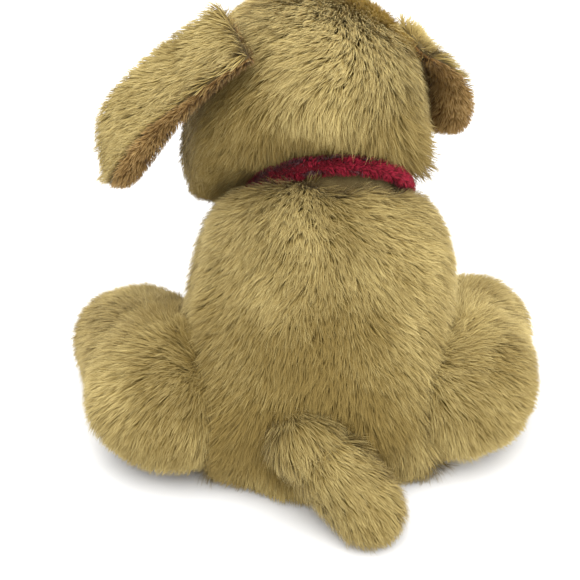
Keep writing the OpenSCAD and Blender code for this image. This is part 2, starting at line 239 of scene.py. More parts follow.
def pile(name, skin, flow, tone, per_mm2, long, lean=(40, 78), wide=0.00042, clump=0.0026, seed=1):
    """Pile on a skin, each strand a fine tapered ribbon.

    flow gives the way it is brushed, tone how bright it is and long its length, at each root.
    lean is how far it leans over, in degrees, at its root and at its tip.
    """
    # how far the tips of a clump draw together, and how much neighbouring strands differ in their way
    tight = 0.24
    stray = 0.16
    mesh = skin.data
    mesh.calc_loop_triangles()
    tri = np.empty(len(mesh.loop_triangles) * 3, int)
    mesh.loop_triangles.foreach_get("vertices", tri)
    tri = tri.reshape(-1, 3)
    co = points_of(mesh)
    nor = normals_of(mesh)
    rng = np.random.default_rng(seed)
    a, b, c = co[tri[:, 0]], co[tri[:, 1]], co[tri[:, 2]]
    area = np.linalg.norm(np.cross(b - a, c - a), axis=1) / 2
    count = int(area.sum() * 1e6 * per_mm2)
    pick = rng.choice(len(area), count, p=area / area.sum())
    u = np.sqrt(rng.random((count, 1)))
    v = rng.random((count, 1))
    weights = (1 - u, u * (1 - v), u * v)
    root = sum(w * co[tri[pick, k]] for k, w in enumerate(weights))
    out = unit(sum(w * nor[tri[pick, k]] for k, w in enumerate(weights)))
    length = long(root, out) * rng.uniform(0.72, 1.12, count)
    keep = length > 0.0008
    root, out, length = root[keep], out[keep], length[keep]
    count = len(root)

    # every strand leans on the nearest of a few leading strands, so that the tips gather
    lead = rng.choice(count, max(1, int(count * clump_share(per_mm2, clump))), replace=False)
    tree = KDTree(len(lead))
    for i, k in enumerate(lead):
        tree.insert(root[k], i)
    tree.balance()
    mine = np.array([lead[tree.find(p)[1]] for p in root])

    way = flow(root, out) + rng.normal(size=(count, 3)) * stray
    way += (rng.normal(size=(count, 3)) * stray)[mine]
    way = unit(way - (way * out).sum(axis=1)[:, None] * out)
    low, high = np.radians(lean[0]), np.radians(lean[1])
    low = low + rng.normal(size=count) * 0.12
    high = high + rng.normal(size=count) * 0.14 + (rng.normal(size=count) * 0.1)[mine]
    first = out * np.cos(low)[:, None] + way * np.sin(low)[:, None]
    last = out * np.cos(high)[:, None] + way * np.sin(high)[:, None]
    steps = np.array([0.0, 0.38, 0.74, 1.0])
    line = []
    for s in steps:
        line.append(root + length[:, None] * (first * (s - s * s / 2) + last * (s * s / 2)))
    for k, s in enumerate(steps):
        line[k] = line[k] + (line[k][mine] - line[k]) * (tight * s ** 1.4)
    line = np.stack(line, axis=1)
    line[:, :, 2] = np.maximum(line[:, :, 2], 0.0003)
    along = unit(line[:, 3] - line[:, 0])
    side = unit(np.cross(along, out) + rng.normal(size=(count, 3)) * 0.22)
    half = wide / 2 * rng.uniform(0.7, 1.25, count)
    verts = np.empty((count, 7, 3))
    for k, share in enumerate((1.0, 0.95, 0.62)):
        verts[:, 2 * k] = line[:, k] - side * (half * share)[:, None]
        verts[:, 2 * k + 1] = line[:, k] + side * (half * share)[:, None]
    verts[:, 6] = line[:, 3]
    face = unit(np.cross(side, along))
    face *= np.sign((face * out).sum(axis=1))[:, None]
    shade = unit(out * 0.6 + face * 0.55)
    tones = tone(root, out) + rng.normal(size=count) * 0.15 + (rng.normal(size=count) * 0.05)[mine]
    shade = np.repeat(shade[:, None], 7, axis=1)
    tones = np.clip(tones, 0.02, 0.98)
    tufts = []
    for start in range(0, count, most_strands):
        some = slice(start, start + most_strands)
        label = name if count <= most_strands else f"{name}_{1 + start // most_strands}"
        tufts.append(strands(label, verts[some], shade[some], tones[some], steps))
    return tufts


# the most strands that one mesh of pile holds, so that each stays light enough to export whole
most_strands = 38000


def clump_share(per_mm2, clump):
    return min(1.0, 1.0 / max(1.0, per_mm2 * (clump * 1000) ** 2))


def strands(name, verts, normals, tones, steps):
    """One mesh of ribbons. Its map holds the tone across and the way from root to tip upward."""
    count = len(verts)
    mesh = bpy.data.meshes.new(name)
    mesh.vertices.add(count * 7)
    mesh.vertices.foreach_set("co", verts.ravel())
    corner = np.array([0, 1, 3, 2, 2, 3, 5, 4, 4, 5, 6])
    loops = (np.arange(count)[:, None] * 7 + corner).ravel()
    mesh.loops.add(count * 11)
    mesh.loops.foreach_set("vertex_index", loops.astype(np.int32))
    mesh.polygons.add(count * 3)
    starts = (np.arange(count)[:, None] * 11 + np.array([0, 4, 8])).ravel()
    mesh.polygons.foreach_set("loop_start", starts.astype(np.int32))
    mesh.update(calc_edges=True)
    layer = mesh.uv_layers.new(name="OFBake")
    spread = 0.006
    across = np.array([-1, 1, -1, 1, -1, 1, 0.0]) * spread
    up = np.array([steps[0], steps[0], steps[1], steps[1], steps[2], steps[2], steps[3]])
    uv = np.empty((count, 7, 2))
    uv[:, :, 0] = tones[:, None] + across
    uv[:, :, 1] = 0.02 + 0.96 * up
    layer.data.foreach_set("uv", uv.reshape(-1, 2)[loops].ravel())
    obj = add_object(name, mesh)
    mesh.normals_split_custom_set_from_vertices(normals.reshape(-1, 3))
    return obj


def pile_look(name, dark, light, sheen=0.08):
    """Dyed pile: dark and light are a dull and a bright strand's colours at root, middle and tip."""
    mat = bpy.data.materials.new(name)
    mat.use_nodes = True
    nodes, links = mat.node_tree.nodes, mat.node_tree.links
    shader = nodes["Principled BSDF"]
    place = nodes.new("ShaderNodeUVMap")
    place.uv_map = "OFBake"
    split = nodes.new("ShaderNodeSeparateXYZ")
    links.new(place.outputs["UV"], split.inputs[0])
    ramps = []
    for colours in (dark, light):
        ramp = nodes.new("ShaderNodeValToRGB")
        ramp.color_ramp.elements[0].color = (*colours[0], 1)
        ramp.color_ramp.elements[1].color = (*colours[2], 1)
        middle = ramp.color_ramp.elements.new(0.5)
        middle.color = (*colours[1], 1)
        links.new(split.outputs["Y"], ramp.inputs[0])
        ramps.append(ramp)
    # each strand's tone mixes the dull and bright colours; where the tone holds painted light and shade, so
    # does this mix
    mix = nodes.new("ShaderNodeMix")
    mix.data_type = "RGBA"
    links.new(split.outputs["X"], mix.inputs["Factor"])
    links.new(ramps[0].outputs["Color"], mix.inputs[6])
    links.new(ramps[1].outputs["Color"], mix.inputs[7])
    links.new(mix.outputs[2], shader.inputs["Base Color"])
    noise = nodes.new("ShaderNodeTexNoise")
    noise.inputs["Scale"].default_value = 900
    rough = nodes.new("ShaderNodeMapRange")
    rough.inputs["To Min"].default_value = 0.55
    rough.inputs["To Max"].default_value = 0.8
    links.new(noise.outputs["Fac"], rough.inputs["Value"])
    links.new(rough.outputs["Result"], shader.inputs["Roughness"])
    shader.inputs["Specular IOR Level"].default_value = 0.12
    shader.inputs["Sheen Weight"].default_value = sheen
    shader.inputs["Sheen Roughness"].default_value = 0.5
    return mat


def cloth_look(name, colour, dark, scale=1400, sheen=0.1):
    """Knitted backing cloth, seen between the strands."""
    mat = bpy.data.materials.new(name)
    mat.use_nodes = True
    nodes, links = mat.node_tree.nodes, mat.node_tree.links
    shader = nodes["Principled BSDF"]
    where = nodes.new("ShaderNodeTexCoord")
    fine = nodes.new("ShaderNodeTexNoise")
    fine.inputs["Scale"].default_value = scale
    fine.inputs["Detail"].default_value = 4
    broad = nodes.new("ShaderNodeTexNoise")
    broad.inputs["Scale"].default_value = 60
    for tex in (fine, broad):
        links.new(where.outputs["Object"], tex.inputs["Vector"])
    both = nodes.new("ShaderNodeMath")
    both.operation = "MULTIPLY"
    links.new(fine.outputs["Fac"], both.inputs[0])
    links.new(broad.outputs["Fac"], both.inputs[1])
    ramp = nodes.new("ShaderNodeValToRGB")
    ramp.color_ramp.elements[0].position = 0.12
    ramp.color_ramp.elements[0].color = (*dark, 1)
    ramp.color_ramp.elements[1].position = 0.42
    ramp.color_ramp.elements[1].color = (*colour, 1)
    links.new(both.outputs[0], ramp.inputs[0])
    links.new(ramp.outputs["Color"], shader.inputs["Base Color"])
    bump = nodes.new("ShaderNodeBump")
    bump.inputs["Strength"].default_value = 0.5
    bump.inputs["Distance"].default_value = 0.0006
    links.new(fine.outputs["Fac"], bump.inputs["Height"])
    links.new(bump.outputs["Normal"], shader.inputs["Normal"])
    rough = nodes.new("ShaderNodeMapRange")
    rough.inputs["To Min"].default_value = 0.75
    rough.inputs["To Max"].default_value = 0.95
    links.new(broad.outputs["Fac"], rough.inputs["Value"])
    links.new(rough.outputs["Result"], shader.inputs["Roughness"])
    shader.inputs["Specular IOR Level"].default_value = 0.2
    shader.inputs["Sheen Weight"].default_value = sheen
    return mat


def finish_piece(obj, look, body, node=None):
    """Gives a piece its material and its place on a body, and hides the CAD part that it stands in for."""
    obj.data.materials.clear()
    obj.data.materials.append(look)
    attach(obj, body)
    if node:
        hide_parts(node)


def finish_pile(tufts, look, body):
    for tuft in tufts:
        finish_piece(tuft, look, body)


def covered(root, out, trees, near):
    """Where a root is buried against a neighbour: 1 in the open and 0 against it."""
    open_air = np.ones(len(root))
    for tree in trees:
        for i in range(len(root)):
            hit = tree.ray_cast(Vector(root[i]), Vector(out[i]), near)
            if hit[0] is not None:
                open_air[i] = 0.0
    return open_air


def underside(root, out):
    """The pile is pressed thin where the toy sits on it."""
    pressed = (out[:, 2] < -0.6) & (root[:, 2] < 0.02)
    return np.where(pressed, 0.25, 1.0)


wheat_pile = pile_look(
    "wheat_pile",
    dark=((0.1, 0.062, 0.014), (0.2, 0.132, 0.032), (0.31, 0.22, 0.065)),
    light=((0.27, 0.185, 0.052), (0.53, 0.4, 0.135), (0.85, 0.7, 0.32)),
)
wheat_backing = cloth_look("wheat_backing", (0.2, 0.15, 0.06), (0.09, 0.06, 0.02))

legs = [f"{end}_leg_{side}" for end in ("hind", "front") for side in ("left", "right")]
body_skin = soft_copy(
    "body_skin",
    ["body_panel_left", "body_panel_right", "belly_panel", "body_stuffing", "pellet_bag", "seat_pellets"],
)
leg_cad = {leg: frame["nodes"][leg + "_cover"].data for leg in legs}
side_seam_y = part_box("body_panel_left")[0][1]
# the upper body slouches four degrees toward its right
slouch_lean = math.tan(math.radians(4))


def body_middle(points):
    """Signed distance from the seam down the middle of the back."""
    return points[:, 0] + points[:, 2] * slouch_lean


def body_held():
    """The body skin is held at its seams, at the floor, in its sockets and round the neck."""
    co = points_of(body_skin.data)
    held = np.zeros(len(co))
    held = np.maximum(held, np.exp(-(body_middle(co) / 0.005) ** 2) * (co[:, 1] > side_seam_y) * 0.9)
    held = np.maximum(held, np.exp(-((co[:, 1] - side_seam_y) / 0.005) ** 2) * 0.9)
    held = np.maximum(held, co[:, 2] < 0.003)
    for mesh in leg_cad.values():
        held = np.maximum(held, reach_to(co, mesh, 0.02) < 0.006)
    for node in ("tail_root", "tail_cover", "neck_sleeve", "collar"):
        held = np.maximum(held, reach_to(co, frame["nodes"][node].data, 0.02) < 0.006)
    return held


def broad_shoulders():
    """The stuffing packs tightest across the shoulders, and more to the right, where the toy leans."""
    co = points_of(body_skin.data)
    high = np.clip((co[:, 2] - 0.07) / 0.05, 0, 1) * np.clip((0.165 - co[:, 2]) / 0.03, 0, 1)
    co[:, 0] += high * (0.05 * co[:, 0] - 0.003)
    move_points(body_skin.data, co)


broad_shoulders()
puff(body_skin, pressure=3.0, held=body_held(), most=0.004)

leg_trees = [tree_of(mesh) for mesh in leg_cad.values()]
tail_trees = [tree_of(frame["nodes"][n].data) for n in ("tail_root", "tail_cover")]
neck_trees = [tree_of(frame["nodes"]["neck_sleeve"].data)]
neck_joint = next(j for j in frame["joints"] if j["name"] == "neck_turn")
neck_at = np.array(neck_joint["pos_m"])
neck_up = np.array(neck_joint["axis"])


def body_flow(root, out):
    """Brushed from the neck outward and down, and forward on the belly."""
    side = np.clip(body_middle(root) / 0.07, -1, 1)
    height = np.clip((root[:, 2] - 0.02) / 0.12, 0, 1)
    way = np.zeros_like(root)
    way[:, 0] = side * (0.55 + 0.4 * height) + 0.32 * ripple(root, 0.07, 11)
    way[:, 1] = 0.2 + 0.32 * ripple(root, 0.06, 12)
    way[:, 2] = -0.95 + 0.38 * ripple(root, 0.065, 13)
    return way


def body_tone_and_painted_light(root, out):
    """Paler on the shoulders and darker low on the back, where painted shade is laid round the tail; darker
    by the seams and where the pile parts; paler on the right side, with painted light.
    """
    tone = 0.46 + 0.16 * ripple(root, 0.08, 21) + 0.09 * ripple(root, 0.025, 22)
    # painted shade low on the back, round the tail root
    painted_low_back_shade = (root[:, 1] > 0.02) * np.exp(-((root[:, 2] - 0.06) / 0.05) ** 2)
    tone -= 0.75 * painted_low_back_shade * np.exp(-((root[:, 0] - 0.015) / 0.07) ** 2)
    # painted light: the toy's right side is made paler, as if lit from that side
    tone += 0.06 * np.clip(-root[:, 0] / 0.06, -0.4, 1)
    tone -= 0.1 * np.exp(-(body_middle(root) / 0.009) ** 2)
    return tone


def body_long(root, out):
    """Long all over, with none in the sockets."""
    size = 0.016 * (1 + 0.12 * ripple(root, 0.03, 31)) * underside(root, out)
    near_leg = np.minimum.reduce([reach_to(root, mesh, 0.03) for mesh in leg_cad.values()])
    size *= 1 + 0.55 * np.exp(-(near_leg / 0.014) ** 2)
    near_tail = reach_to(root, frame["nodes"]["tail_root"].data, 0.03)
    size *= 1 + 0.6 * np.exp(-(near_tail / 0.012) ** 2)
    size *= covered(root, out, leg_trees, 0.004)
    size *= covered(root, out, tail_trees, 0.0015)
    return size * covered(root, out, neck_trees, 0.005)


body_mid = centres_of(body_skin.data)
back = body_mid[:, 1] > side_seam_y
on_left = body_middle(body_mid) > 0
body_parts = {
    "body_panel_left": back & on_left,
    "body_panel_right": back & ~on_left,
    "belly_panel": ~back,
}
body_density = {"body_panel_left": 1.9, "body_panel_right": 1.9, "belly_panel": 1.0}
for order, (node, keep) in enumerate(body_parts.items()):
    panel = part_of(body_skin, node + "_skin", keep)
    finish_piece(panel, wheat_backing, "body", node)
    hair = pile(node + "_pile", panel, body_flow, body_tone_and_painted_light, body_density[node], body_long, seed=100 + order)
    finish_pile(hair, wheat_pile, "body")
bpy.data.objects.remove(body_skin)


# ---- The filling ----
# White polyester fibre pushed in through a gap in each seam, and a bag of plastic pellets in the seat.
# Nothing holds them but the covers, so they fill whatever shape the cover gives them.

def lumpy(node, name, shrink, lump, voxel=0.005):
    """A CAD filling made lumpy and drawn in a little from its cover."""
    obj = soft_copy(name, [node], voxel=voxel, smooth=8)
    co = points_of(obj.data)
    nor = normals_of(obj.data)
    depth = lump * ripple(co, 0.018, 41) + 0.5 * lump * ripple(co, 0.009, 42)
    move_points(obj.data, co + nor * (depth - shrink)[:, None])
    return obj


fibre_look = cloth_look("fibre_filling", (0.86, 0.85, 0.8), (0.6, 0.59, 0.55), scale=500)
bag_look = cloth_look("bag_cloth", (0.7, 0.66, 0.56), (0.45, 0.41, 0.33), scale=2200)
fillings = {
    "body_stuffing": "body",
    "neck_stuffing": "neck_core",
    "head_stuffing": "head",
    "muzzle_stuffing": "head",
    "front_leg_left_stuffing": "front_leg_left",
    "front_leg_right_stuffing": "front_leg_right",
    "hind_leg_left_stuffing": "hind_leg_left",
    "hind_leg_right_stuffing": "hind_leg_right",
    "tail_stuffing": "tail",
}
for node, body in fillings.items():
    fibre = lumpy(node, node + "_fibre", shrink=0.003, lump=0.0012)
    finish_piece(fibre, fibre_look, body, node)
seat_bag = lumpy("pellet_bag", "pellet_bag_cloth", 0.0, 0.0006, voxel=0.0012)
finish_piece(seat_bag, bag_look, "body", "pellet_bag")


def pellet_heap(name, node, count, size):
    """A heap of small pressed pellets that fills the seat bag."""
    low, high = (np.array(v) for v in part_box(node))
    rng = np.random.default_rng(51)
    middle = (low + high) / 2
    reach = (high - low) / 2 - size
    bm = bmesh.new()
    made = 0
    while made < count:
        spot = rng.uniform(-1, 1, 3)
        if np.linalg.norm(spot * (1, 1, 0.9)) > 0.98:
            continue
        turn = Matrix.Rotation(rng.uniform(0, 3.1), 4, Vector(rng.normal(size=3)))
        flat = Matrix.Diagonal((1, 1, 0.62, 1))
        at = Matrix.Translation(Vector(middle + spot * reach))
        bmesh.ops.create_icosphere(bm, subdivisions=1, radius=size, matrix=at @ turn @ flat)
        made += 1
    return add_built(name, bm)


def plastic_look(name, colour, dark, rough, bump_size=0.0001, scale=300):
    """Moulded plastic with a faint mottle."""
    mat = bpy.data.materials.new(name)
    mat.use_nodes = True
    nodes, links = mat.node_tree.nodes, mat.node_tree.links
    shader = nodes["Principled BSDF"]
    where = nodes.new("ShaderNodeTexCoord")
    noise = nodes.new("ShaderNodeTexNoise")
    noise.inputs["Scale"].default_value = scale
    links.new(where.outputs["Object"], noise.inputs["Vector"])
    ramp = nodes.new("ShaderNodeValToRGB")
    ramp.color_ramp.elements[0].color = (*dark, 1)
    ramp.color_ramp.elements[1].color = (*colour, 1)
    links.new(noise.outputs["Fac"], ramp.inputs[0])
    links.new(ramp.outputs["Color"], shader.inputs["Base Color"])
    spread = nodes.new("ShaderNodeMapRange")
    spread.inputs["To Min"].default_value = rough * 0.7
    spread.inputs["To Max"].default_value = rough * 1.3
    links.new(noise.outputs["Fac"], spread.inputs["Value"])
    links.new(spread.outputs["Result"], shader.inputs["Roughness"])
    bump = nodes.new("ShaderNodeBump")
    bump.inputs["Strength"].default_value = 0.3
    bump.inputs["Distance"].default_value = bump_size
    links.new(noise.outputs["Fac"], bump.inputs["Height"])
    links.new(bump.outputs["Normal"], shader.inputs["Normal"])
    return mat


pellet_look = plastic_look("seat_pellets", (0.86, 0.85, 0.82), (0.74, 0.73, 0.7), 0.4)
pellets = pellet_heap("seat_pellet_heap", "seat_pellets", 900, 0.0024)
finish_piece(pellets, pellet_look, "body", "seat_pellets")


# ---- The hind legs ----
# Two fat stuffed legs that splay forward and outward, flattened a little where they sag.
# Each is one tube of the same plush, closed at the foot by a sole of short tan pile.

body_panels = ("body_panel_left", "body_panel_right", "belly_panel")


def leg_skin(leg, pad):
    """The skin of one stuffed leg, held at its floor and round its pad's seam."""
    skin = soft_copy(leg + "_skin_whole", [leg + "_cover", leg + "_stuffing", pad], smooth=5)
    co = points_of(skin.data)
    body_near = np.minimum.reduce([reach_to(co, frame["nodes"][n].data, 0.02) for n in body_panels])
    to_pad = reach_to(co, frame["nodes"][pad].data, 0.03)
    held = np.maximum(co[:, 2] < 0.003, body_near < 0.005)
    held = np.maximum(held, np.exp(-((to_pad - 0.004) / 0.004) ** 2) * 0.8)
    puff(skin, pressure=2.6, held=held, most=0.004)
    return skin


def make_leg(leg, pad, flow, tone, density, size, seed):
    """A leg's cover and pad, each with its own pile."""
    skin = leg_skin(leg, pad)
    mid = centres_of(skin.data)
    is_pad = reach_to(mid, frame["nodes"][pad].data, 0.02) < 0.0022
    cover = part_of(skin, leg + "_cover_skin", ~is_pad)
    sole = part_of(skin, pad + "_skin", is_pad)
    finish_piece(cover, wheat_backing, leg, leg + "_cover")
    finish_piece(sole, tan_backing, leg, pad)
    body_trees = [tree_of(frame["nodes"][n].data) for n in body_panels]

    def long(root, out):
        full = size * (1 + 0.12 * ripple(root, 0.03, 61)) * underside(root, out)
        return full * covered(root, out, body_trees, 0.007)

    def pad_long(root, out):
        return np.full(len(root), 0.0045) * underside(root, out)

    hair = pile(leg + "_pile", cover, flow, tone, density, long, seed=seed)
    finish_pile(hair, wheat_pile, leg)
    fuzz = pile(
        pad + "_pile", sole, flow, tan_tone, 1.6, pad_long,
        lean=(10, 40), wide=0.0004, clump=0.003, seed=seed + 1,
    )
    finish_pile(fuzz, tan_pile, leg)
    bpy.data.objects.remove(skin)


def tan_tone(root, out):
    return 0.5 + 0.2 * ripple(root, 0.02, 71)


tan_pile = pile_look(
    "tan_pile",
    dark=((0.07, 0.03, 0.008), (0.2, 0.11, 0.03), (0.3, 0.18, 0.06)),
    light=((0.2, 0.11, 0.03), (0.46, 0.29, 0.1), (0.62, 0.44, 0.2)),
)
tan_backing = cloth_look("tan_backing", (0.26, 0.14, 0.04), (0.12, 0.06, 0.015))


def hind_flow(side):
    """Brushed down and outward over the thigh, and forward on the foot."""
    def flow(root, out):
        way = np.zeros_like(root)
        way[:, 0] = side * (0.45 + 0.3 * ripple(root, 0.06, 81))
        way[:, 1] = -0.12 + 0.35 * ripple(root, 0.06, 82)
        way[:, 2] = -0.95 + 0.3 * ripple(root, 0.06, 83)
        return way
    return flow


def hind_tone_and_painted_light(side):
    """The haunch is duller near the hip, with painted shade where it meets the body, and paler toward the
    foot; the right leg is a little paler, with painted light.
    """
    def tone(root, out):
        reach = (root[:, 0] * side - 0.06) / 0.1
        patches = 0.15 * ripple(root, 0.06, 84) + 0.09 * ripple(root, 0.025, 85)
        # painted shade near the hip and painted light on the right leg; the ripples are random tone
        return 0.3 + 0.08 * (side < 0) + 0.12 * np.clip(reach, 0, 1) + patches
    return tone


for side, word in ((LEFT, "left"), (RIGHT, "right")):
    make_leg(
        f"hind_leg_{word}", f"hind_foot_{word}_sole", hind_flow(side), hind_tone_and_painted_light(side),
        density=1.7, size=0.016, seed=200 + side,
    )


# ---- The front legs ----
# Two short arms, stuffed softly and sewn to the chest, that prop the toy up from in front.
# They end in round paws with a small tan pad each.

def front_flow(root, out):
    way = np.zeros_like(root)
    way[:, 0] = 0.25 * ripple(root, 0.05, 91)
    way[:, 1] = -0.3
    way[:, 2] = -1.0
    return way


def front_tone(root, out):
    return 0.55 + 0.12 * ripple(root, 0.05, 92)


for side, word in ((LEFT, "left"), (RIGHT, "right")):
    make_leg(f"front_leg_{word}", f"front_paw_{word}_pad", front_flow, front_tone, 1.4, 0.012, 220 + side)


# ---- The tail ----
# A stubby stuffed tail, sewn low on the back seam, that lies on the floor and points to the right.
# Its root is a ball of stuffing under the same plush.

tail_skin = soft_copy("tail_cover_skin", ["tail_cover", "tail_stuffing"], smooth=5)
tail_co = points_of(tail_skin.data)
tail_near = reach_to(tail_co, frame["nodes"]["tail_root"].data, 0.02)
puff(tail_skin, pressure=2.0, held=np.maximum(tail_near < 0.004, tail_co[:, 2] < 0.003), most=0.003)
tail_joint = next(j for j in frame["joints"] if j["name"] == "tail_lift")
tail_at = np.array(tail_joint["pos_m"])
tail_way = unit(tail_co.mean(axis=0) - tail_at)
tail_root_tree = tree_of(frame["nodes"]["tail_root"].data)


def tail_flow(root, out):
    way = np.tile(tail_way, (len(root), 1))
    way[:, 2] -= 0.2
    way += 0.16 * unruly(root, 0.04, 95)
    return way


def tail_tone(root, out):
    return 0.4 + 0.12 * ripple(root, 0.035, 98)


def tail_long(root, out):
    near_root = np.exp(-(np.linalg.norm(root - tail_at, axis=1) / 0.03) ** 2)
    size = 0.0145 * (1 + 0.5 * near_root) * underside(root, out)
    return size * covered(root, out, [tail_root_tree], 0.002)


finish_piece(tail_skin, wheat_backing, "tail", "tail_cover")
tail_hair = pile("tail_pile", tail_skin, tail_flow, tail_tone, 1.9, tail_long, lean=(40, 80), seed=240)
finish_pile(tail_hair, wheat_pile, "tail")

tail_ball = soft_copy("tail_root_skin", ["tail_root"], voxel=0.003, smooth=2)
finish_piece(tail_ball, wheat_backing, "tail_root", "tail_root")


def root_long(root, out):
    return np.where(out @ tail_way > 0.75, 0.0, 0.02) * underside(root, out)


root_hair = pile("tail_root_pile", tail_ball, tail_flow, tail_tone, 1.8, root_long, lean=(55, 85), seed=241)
finish_pile(root_hair, wheat_pile, "tail_root")


# ---- The neck and the collar ----
# The neck is a short stuffed sleeve that is mostly hidden.
# The collar is a ring of deep red short plush, sewn to itself and slipped over the neck.

neck_skin = soft_copy("neck_sleeve_skin", ["neck_sleeve", "neck_stuffing"], voxel=0.003, smooth=3)
finish_piece(neck_skin, wheat_backing, "neck", "neck_sleeve")


def neck_flow(root, out):
    return np.tile(-neck_up, (len(root), 1)) + 0.3 * unruly(root, 0.02, 101)


def neck_long(root, out):
    up = (root - neck_at) @ neck_up
    return np.where((up > 0.0) & (up < 0.026), 0.008, 0.0)


def neck_tone(root, out):
    return np.full(len(root), 0.3)


neck_hair = pile(
    "neck_sleeve_pile", neck_skin, neck_flow, neck_tone, 1.0, neck_long,
    lean=(10, 40), seed=245,
)
finish_pile(neck_hair, wheat_pile, "neck")


def ring_mesh(name, middle, axis, radius, half_wide, half_high, around=96, section=20):
    """A soft flattened ring about an axis, with the slight puckers of a sewn band."""
    helper = Vector((1, 0, 0))
    up = Vector(axis).normalized()
    first = (helper - up * helper.dot(up)).normalized()
    second = up.cross(first)
    bm = bmesh.new()
    rows = []
    for i in range(around):
        a = 2 * math.pi * i / around
        spoke = first * math.cos(a) + second * math.sin(a)
        pucker = 1 + 0.05 * math.sin(13 * a) + 0.03 * math.sin(29 * a + 1)
        row = []
        for k in range(section):
            b = 2 * math.pi * k / section
            flat = half_wide * math.copysign(abs(math.cos(b)) ** 0.7, math.cos(b)) * pucker
            high = half_high * math.copysign(abs(math.sin(b)) ** 0.7, math.sin(b)) * pucker
            row.append(bm.verts.new(Vector(middle) + spoke * (radius + flat) + up * high))
        rows.append(row)
    for i in range(around):
        for k in range(section):
            nxt = (i + 1) % around
            far = (k + 1) % section
            bm.faces.new((rows[i][k], rows[nxt][k], rows[nxt][far], rows[i][far]))
    bmesh.ops.recalc_face_normals(bm, faces=bm.faces)
    return add_built(name, bm)


collar_co = points_of(frame["nodes"]["collar"].data) - neck_at
collar_up = collar_co @ neck_up
collar_out = np.linalg.norm(collar_co - collar_up[:, None] * neck_up, axis=1)
collar_mid = neck_at + neck_up * (collar_up.min() + collar_up.max()) / 2
collar_ring = ring_mesh(
    "collar_band", collar_mid, neck_up,
    (collar_out.min() + collar_out.max()) / 2,
    (collar_out.max() - collar_out.min()) / 2,
    (collar_up.max() - collar_up.min()) / 2 * 0.8,
)
red_backing = cloth_look("red_backing", (0.2, 0.008, 0.016), (0.09, 0.003, 0.007))
red_pile = pile_look(
    "red_pile",
    dark=((0.05, 0.001, 0.003), (0.16, 0.003, 0.012), (0.28, 0.008, 0.025)),
    light=((0.16, 0.003, 0.012), (0.42, 0.012, 0.04), (0.62, 0.05, 0.09)),
    sheen=0.15,
)


def collar_flow(root, out):
    way = np.cross(np.tile(neck_up, (len(root), 1)), out)
    return way + 0.6 * unruly(root, 0.012, 111)


def collar_long(root, out):
    off = root - collar_mid
    flat = off - (off @ neck_up)[:, None] * neck_up
    return np.where((unit(flat) * out).sum(axis=1) < -0.3, 0.0, 0.0036)


def collar_tone(root, out):
    return 0.45 + 0.2 * ripple(root, 0.015, 114)


finish_piece(collar_ring, red_backing, "collar", "collar")
collar_hair = pile(
    "collar_pile", collar_ring, collar_flow, collar_tone, 2.4, collar_long,
    lean=(5, 45), wide=0.00045, clump=0.0028, seed=250,
)
finish_pile(collar_hair, red_pile, "collar")


# ---- The head ----
# Two panels of the same plush, sewn up the back of the head and over the crown, with a small muzzle sewn on.
# The cheeks hang a little, and the pile is clipped short round the eyes and on the muzzle.

head_skin = soft_copy(
    "head_skin",
    ["head_panel_left", "head_panel_right", "head_stuffing", "muzzle_cover", "muzzle_stuffing"],
)
eye_mid = [np.mean([np.array(v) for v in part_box(n)], axis=0) for n in ("eye_left", "eye_right")]
nose_mid = np.mean([np.array(v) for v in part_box("nose")], axis=0)
head_low, head_high = (np.array(v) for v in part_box("head_stuffing"))
head_mid = (head_low + head_high) / 2
# the seam plane holds the middle of the eyes, the nose and the middle of the head
head_side = unit(eye_mid[0] - eye_mid[1])


def head_middle(points):
    """Signed distance from the head's middle seam."""
    return (points - nose_mid) @ head_side


head_co = points_of(head_skin.data)
head_held = np.exp(-(head_middle(head_co) / 0.005) ** 2) * 0.85
for node in ("eye_left", "eye_right", "nose", "neck_sleeve", "collar"):
    head_held = np.maximum(head_held, reach_to(head_co, frame["nodes"][node].data, 0.02) < 0.007)
puff(head_skin, pressure=3.0, held=head_held, most=0.004)


def hang_cheeks():
    """Lets the lower side of each cheek sag toward the shoulder."""
    co = points_of(head_skin.data)
    off = co - head_mid
    side = head_middle(co) / 0.05
    low = np.clip(-off[:, 2] / 0.05, 0, 1)
    away = np.clip(np.abs(side) - 0.35, 0, 1) * low
    near_neck = np.clip((reach_to(co, frame["nodes"]["collar"].data, 0.03) - 0.004) / 0.015, 0, 1)
    drop = 0.014 * away * near_neck
    co[:, 2] -= drop
    co[:, 0] += head_side[0] * np.sign(side) * drop * 0.3
    move_points(head_skin.data, co)


hang_cheeks()
face_way = unit(nose_mid - head_mid)
head_trees = [tree_of(frame["nodes"]["neck_sleeve"].data)]


def head_flow(root, out):
    """Brushed back from the nose over the crown, then out from the seam and down to the neck."""
    off = root - head_mid
    front = np.clip((unit(off) @ face_way - 0.2) / 0.5, 0, 1)[:, None]
    side = np.clip(head_middle(root) / 0.05, -1, 1)[:, None]
    crown = np.clip(out[:, 2:], 0, 1)
    back_way = np.array([0, 0.1, -1.0]) + crown * np.array([0.9, 0.5, 0])
    back_way = back_way + side * head_side * (0.6 - 0.6 * crown)
    front_way = -face_way * 1.0 + side * head_side * 0.5 + np.array([0, 0, 0.15])
    way = back_way * (1 - front) + front_way * front
    return way + 0.3 * unruly(root, 0.05, 121)


def head_tone_and_painted_light(root, out):
    """Pale on the crown with painted light from above, painted shade under the cheeks, dull along the back
    seam, and paler on the right side with painted light.
    """
    up = (root[:, 2] - head_mid[2]) / 0.07
    # painted light: the higher on the head, the paler, as if lit from above; low under the cheeks it is
    # painted shade
    tone = 0.06 + 1.3 * np.clip(up - 0.3, -0.2, 0.9)
    tone += 0.14 * ripple(root, 0.05, 124) + 0.08 * ripple(root, 0.02, 125)
    # painted light on the head's right side, as if lit from that side
    tone += 0.22 * np.clip(-(root - head_mid)[:, 0] / 0.05, -0.3, 1)
    tone = np.maximum(tone, 0.12)
    return tone - 0.08 * np.exp(-(head_middle(root) / 0.008) ** 2)


